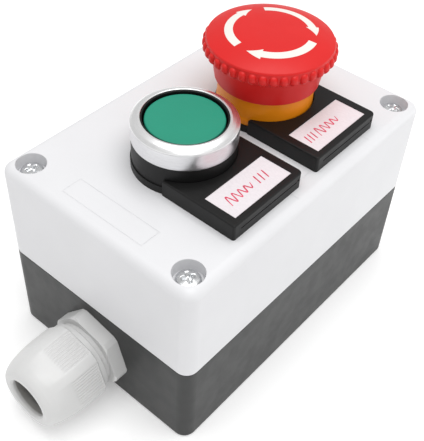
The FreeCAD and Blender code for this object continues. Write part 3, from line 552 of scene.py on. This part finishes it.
def nut_shape(radius, height, angle):
    """Six flats with fine ribs that melt into the round nose, ahead of a round collar."""
    inside = radius < MOUTH_OUTSIDE or (radius < NUT_BORE and height < NUT_BORE_END)
    collar_step = radius < 11.9 and height < NUT_REAR + 3
    if inside or height < NUT_REAR + NUT_COLLAR or collar_step:
        return radius, height
    turn = (angle - NUT_TURN) % (math.pi / 3) - math.pi / 6
    flat = NUT_FLAT / math.cos(turn)
    soft = 0.2
    meet = max(0.0, soft - abs(flat - NUT_CORNER)) / soft
    section = (min(flat, NUT_CORNER) - meet * meet * soft * 0.25) / NUT_CORNER
    nose = smooth((NUT_FRONT - 1.5 - height) / 8)
    along = NUT_FLAT * math.tan(turn)
    rib = 0.5 + 0.5 * math.cos(2 * math.pi * along / RIB_PITCH)
    on_flat = smooth((NUT_CORNER - 0.1 - flat) / 0.15)
    length = smooth((height - RIBS_START) / 0.3) * smooth((RIBS_END - height) / 0.8)
    return radius * (1 + (section - 1) * nose) - RIB_DEEP * (1 - rib) * on_flat * length, height


def gland_cap_nut():
    front, rear, corner = NUT_FRONT, NUT_REAR, NUT_CORNER
    piece = turned("gland_cap_nut", [
        (10.8, rear, 0.1), (11.5, rear, 0.15), (11.78, rear + 0.3, 0.2), (11.78, rear + 1.9, 0),
        (corner - 0.35, rear + 1.9, 0), (corner - 0.02, rear + 2.2, 0.1), (corner - 0.07, front - 12, 40),
        (corner - 0.42, front - 8, 20), (corner - 1.02, front - 5.3, 10), (corner - 1.62, front - 3.3, 5),
        (corner - 2.42, front - 1.6, 3.5), (corner - 3.15, front - 0.5, 2), (corner - 4.1, front, 1.5),
        (7.2, front, 0.4), (6.61, front - 0.7, 0.3), (6.61, front - 1.5, 0.1), (10.2, front - 6, 0.1),
        (10.8, front - 6.3, 0.1)],
        outward, "gland_cap", "gland_nylon", 720, nut_shape, 0.4)
    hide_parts("gland_nut")


def gland_thread():
    """The thread that shows between the flange and the nut."""
    start, finish, pitch, root, crest = 4.75, 13.4, 1.5, 10.42, 10.74
    points, faces = [], []
    count, per_turn = int((finish - start - pitch) / pitch * 72), 72
    for k in range(count + 1):
        angle = 2 * math.pi * k / per_turn
        height = start + 0.4 + pitch * k / per_turn
        high = root + (crest - root) * smooth(k / 18) * smooth((count - k) / 18)
        for radius, lift in ((root - 0.15, -0.5), (high, -0.12), (high, 0.12), (root - 0.15, 0.5)):
            points.append(outward((radius * math.cos(angle), radius * math.sin(angle), height + lift)))
    for k in range(count):
        for j in range(4):
            a, b = 4 * k + j, 4 * k + (j + 1) % 4
            faces.append((a, a + 4, b + 4, b))
    faces += [(0, 1, 2, 3), tuple(4 * count + j for j in (3, 2, 1, 0))]
    add_piece("gland_thread", points, faces, "root", "gland_nylon")


# ---------------------------------------------------------------- cover screws

SCREW_HEAD = 3.5
HEAD_HIGH = 2.38
SHANK_LONG = 44
SHANK_RADIUS = 1.5


def cover_screw(number, x, y):
    """A pan head screw with a tapered cross recess."""
    centre = Vector((x, y, 0))
    top = high_of("cover_screws").z / MM
    radius, rows, around = SCREW_HEAD - 0.04, 34, 96

    def height(px, py):
        reach = math.hypot(px, py)
        dome = -0.62 * (reach / radius) ** 2 - 0.5 * smooth((reach - 3.0) / 0.5)
        arm = min(max(abs(px) - 0.42, 0), max(abs(py) - 0.42, 0))
        taper = 1.35 * smooth((2.25 - reach) / 1.5)
        depth = taper * smooth((0.34 - arm) / 0.34)
        return top - 0.01 + dome - depth

    points = [Vector((0, 0, height(0, 0)))]
    for k in range(1, rows + 1):
        for j in range(around):
            angle = 2 * math.pi * j / around
            px, py = radius * k / rows * math.cos(angle), radius * k / rows * math.sin(angle)
            points.append(Vector((px, py, height(px, py))))
    faces = [(0, 1 + j, 1 + (j + 1) % around) for j in range(around)]
    for k in range(rows - 1):
        for j in range(around):
            a, b = 1 + k * around + j, 1 + k * around + (j + 1) % around
            faces.append((a, a + around, b + around, b))
    base = 1 + (rows - 1) * around
    seat = top - HEAD_HIGH
    tip = seat - SHANK_LONG
    first = len(points)
    for level, reach in ((seat, radius), (seat, SHANK_RADIUS + 0.2), (tip + 0.5, SHANK_RADIUS), (tip, 0.6)):
        for j in range(around):
            angle = 2 * math.pi * j / around
            points.append(Vector((reach * math.cos(angle), reach * math.sin(angle), level)))
    loops = [base] + [first + around * k for k in range(4)]
    for upper, lower in zip(loops, loops[1:]):
        for j in range(around):
            faces.append((upper + j, lower + j, lower + (j + 1) % around, upper + (j + 1) % around))
    faces.append(tuple(loops[-1] + j for j in range(around))[::-1])
    turn = Matrix.Rotation(math.radians(20 + 37 * number), 3, "Z")
    placed = [(turn @ p + centre) * MM for p in points]
    piece = add_piece(f"cover_screw_{number}", placed, faces, "root", "zinc_steel", sharp_deg=50)
    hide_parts("cover_screws")


def cover_screws():
    reach = high_of("cover_screws")
    x, y = reach.x / MM - SCREW_HEAD, reach.y / MM - SCREW_HEAD
    for number, (sx, sy) in enumerate(((-1, -1), (1, -1), (1, 1), (-1, 1)), start=1):
        cover_screw(number, sx * x, sy * y)


# ---------------------------------------------------------------- springs

def coil(node, turns, wire):
    """A compression spring inside its envelope, with closed ends."""
    low, high = (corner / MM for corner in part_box(node))
    centre = (low + high) / 2
    radius = (high.x - low.x) / 2 - wire / 2
    bottom, top = low.z + wire / 2, high.z - wire / 2
    count = int(turns * 28)
    path = []
    for k in range(count + 1):
        share = k / count
        between = (share - 1 / turns) / (1 - 2 / turns)
        open_turns = smooth(between) * 0.18 + 0.82 * max(0.0, min(1.0, between))
        end_turns = wire * min(1, share * turns) * 0.9 + wire * 0.9 * max(0, share * turns - turns + 1)
        height = bottom + end_turns + (top - bottom - 1.8 * wire) * open_turns
        angle = 2 * math.pi * turns * share
        x, y = radius * math.cos(angle), radius * math.sin(angle)
        path.append(Vector((centre.x + x, centre.y + y, height)))
    piece = tube(f"{node}_coil", path, wire / 2, lambda p: p * MM, BODY_OF[node], "spring_steel", 8)
    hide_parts(node)
    return piece


def travel_of(joint):
    return max(abs(x) for x in JOINTS[joint]["range_m"])


SQUASHED = {
    "start_return_spring": [("start_push", low_of("start_return_spring").z, travel_of("start_push"))],
    "stop_return_spring": [("stop_push", low_of("stop_return_spring").z, travel_of("stop_push"))],
    "start_contact_spring": [("start_contact_push", low_of("start_contact_spring").z,
                              travel_of("start_contact_push"))],
    "stop_contact_spring": [("stop_contact_push", low_of("stop_contact_spring").z,
                             travel_of("stop_contact_push"))],
    "start_bridge_spring": [("start_contact_push", high_of("start_bridge_spring").z,
                             travel_of("start_contact_push") - travel_of("start_bridge_close"))],
}


def springs():
    """Coils for all the springs; those that a joint deforms get a mesh of their own."""
    for node, turns, wire in (("start_return_spring", 6.5, 1.1), ("stop_return_spring", 7.5, 1.3),
                              ("start_contact_spring", 8, 0.55), ("stop_contact_spring", 7, 0.55),
                              ("start_bridge_spring", 5, 0.5), ("stop_bridge_spring", 5, 0.5),
                              ("stop_torsion_spring", 3.5, 0.9)):
        piece = coil(node, turns, wire)
        for joint, still_end, travel in SQUASHED.get(node, ()):
            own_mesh(piece)


# ---------------------------------------------------------------- pen strokes on the cards

PEN_HALF = 0.24
STROKE_STEPS = 8


def stroke(name, points, card, turn):
    """A pen line, thin at its ends, through points given in millimetres along and across a card."""
    low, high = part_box(card)
    centre, level = (low + high) / 2 / MM, high.z / MM + 0.012
    path = []
    for k in range(len(points) - 1):
        before, here = Vector(points[max(k - 1, 0)]), Vector(points[k])
        there, after = Vector(points[k + 1]), Vector(points[min(k + 2, len(points) - 1)])
        for j in range(STROKE_STEPS):
            t = j / STROKE_STEPS
            bend = 2 * before - 5 * here + 4 * there - after
            twist = 3 * here - before - 3 * there + after
            path.append(0.5 * (2 * here + (there - before) * t + bend * t * t + twist * t ** 3))
    path.append(Vector(points[-1]))
    rows = []
    for k, here in enumerate(path):
        along = (path[min(k + 1, len(path) - 1)] - path[max(k - 1, 0)]).normalized()
        across = Vector((-along.y, along.x))
        share = k / (len(path) - 1)
        press = 0.55 + 0.45 * smooth(min(share, 1 - share) * 8)
        width = PEN_HALF * press * (0.9 + 0.1 * math.sin(9 * share + turn))
        rows.append([here + across * width * (j - 1) for j in range(3)])
    top = [[(centre.x + p.x, centre.y + p.y, level) for p in row] for row in rows]
    slab(name, top, 0.03, lambda p: p * MM, BODY_OF[card], "red_ink")


def pen_strokes():
    """A wavy line and a few slanted dashes on each card, which spell nothing."""
    for card, start, waves, dashes in (("start_legend_card", -9.0, 9, (3.6, 5.4, 7.2)),
                                       ("stop_legend_card", -5.4, 9, (-9.8, -8.3, -6.8))):
        wave = [(start + 1.15 * k, 1.9 - 0.12 * k if k % 2 else 0.1 * k - 1.9) for k in range(waves + 1)]
        stroke(f"{card}_pen_wave", wave, card, 1)
        for number, along in enumerate(dashes, start=1):
            stroke(f"{card}_pen_dash_{number}", [(along - 0.35, -1.7), (along + 0.35, 1.7)], card, number)


# ---------------------------------------------------------------- camera, light and floor

def camera():
    """Looks down along the box from above the cable gland's corner, with a slight roll."""
    eye = Vector((-149.6, -115.93, 216.79)) * MM
    forward = Vector((0.55581, 0.43879, -0.70607)).normalized()
    roll = math.radians(3.55)
    side = forward.cross(Vector((0, 0, 1))).normalized()
    side = Matrix.Rotation(-roll, 3, forward) @ side
    up = side.cross(forward)
    data = bpy.data.cameras.new("camera")
    data.lens = 64.65
    data.clip_start = 0.01
    seen = bpy.data.objects.new("camera", data)
    turn = Matrix((side, up, -forward)).transposed().to_4x4()
    seen.matrix_world = Matrix.Translation(eye) @ turn
    bpy.context.scene.collection.objects.link(seen)
    bpy.context.scene.camera = seen


def lamp(name, place, target, size, watts):
    data = bpy.data.lights.new(name, "AREA")
    data.shape = "RECTANGLE"
    data.size, data.size_y = size
    data.energy = watts
    light = bpy.data.objects.new(name, data)
    aim = (Vector(target) - Vector(place)).to_track_quat("-Z", "Y")
    light.matrix_world = Matrix.Translation(Vector(place)) @ aim.to_matrix().to_4x4()
    bpy.context.scene.collection.objects.link(light)


def studio():
    world = bpy.data.worlds.new("studio")
    bpy.context.scene.world = world
    world.use_nodes = True
    world.node_tree.nodes["Background"].inputs["Color"].default_value = (1, 1, 1, 1)
    world.node_tree.nodes["Background"].inputs["Strength"].default_value = 0.62
    lamp("key", (-0.02, -0.1, 0.85), (0, 0, 0.05), (0.7, 0.7), 5.0)
    lamp("fill", (0.3, -0.26, 0.08), (0.05, -0.03, 0.05), (0.16, 0.1), 0.12)
    bpy.context.scene.view_settings.view_transform = "Standard"


def floor():
    s = Shader("floor")
    tone = s.mix(s.ramp(s.noise(60, 3), 0, 1), (0.9, 0.9, 0.9), (0.92, 0.92, 0.92))
    s.join(tone, s.surface.inputs["Base Color"])
    s.fixed(Roughness=0.9)
    s.surface.inputs["Emission Color"].default_value = (1, 1, 1, 1)
    s.surface.inputs["Emission Strength"].default_value = 0.2
    half = 3.0
    mesh = bpy.data.meshes.new("floor")
    corners = [(-half, -half, 0), (half, -half, 0), (half, half, 0), (-half, half, 0)]
    mesh.from_pydata(corners, [], [(0, 1, 2, 3)])
    ground = bpy.data.objects.new("floor", mesh)
    ground.location.z = CAD_BOX[0][2] - 0.0001
    mesh.materials.append(s.material)
    bpy.context.scene.collection.objects.link(ground)


camera()
studio()
floor()
dress_cad()
stop_button()
start_button()
gland_cap_nut()
gland_thread()
cover_screws()
springs()
pen_strokes()
